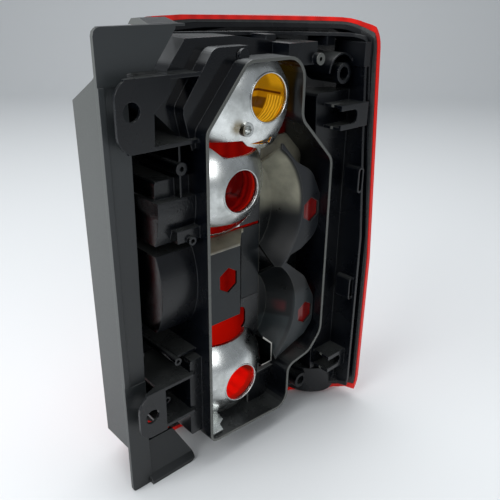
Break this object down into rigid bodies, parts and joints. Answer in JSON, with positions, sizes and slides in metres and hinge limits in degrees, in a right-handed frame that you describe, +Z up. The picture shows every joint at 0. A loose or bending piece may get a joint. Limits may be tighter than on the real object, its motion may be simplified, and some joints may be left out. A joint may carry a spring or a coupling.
{
  "type": "tail light cluster",
  "caption": "Upright rear lamp: black moulded tray and inboard trim, wrap-round red lens with a clear corner, silver and grey reflectors inside an open bulb carrier collar.",
  "frame": {"origin": "midway between the two body fixing holes, on the rear face of their tabs", "axes": "+X outboard towards the side of the vehicle, +Y out of the lens face away from the vehicle body, +Z up as the lamp stands and as it is fitted"},
  "size_m": [0.233, 0.1045, 0.3535],
  "materials": {
    "black_housing": "black moulded ABS, fine satin grain, semi-gloss where polished",
    "black_trim": "dark grey-black moulded ABS with a finer grain",
    "red_lens": "clear-through red acrylic, glossy",
    "clear_lens": "water-clear acrylic, glossy",
    "grey_seal": "grey hot-melt sealing bead",
    "silver_reflector": "plastic with a satin vacuum-metallised skin",
    "grey_reflector": "dark grey-beige plastic, half gloss, bare back of the metallised moulding",
    "amber_filter": "amber acrylic, glossy",
    "red_filter": "red acrylic, glossy",
    "spring_steel": "thin spring steel strip"
  },
  "bodies": {
    "root": {"housing": "black_housing", "inboard_trim": "black_trim", "lens_red": "red_lens", "lens_clear": "clear_lens", "lens_seal": "grey_seal", "turn_reflector": "silver_reflector", "stop_reflector": "silver_reflector", "tail_reflector": "grey_reflector", "fog_reflector": "silver_reflector", "outboard_reflector": "grey_reflector", "amber_filter": "amber_filter", "stop_filter": "red_filter", "fog_filter": "red_filter", "upper_window_pane": "red_filter", "lower_window_pane": "red_filter", "reflex_panel": "red_lens", "spring_clip": "spring_steel"}
  },
  "joints": []
}
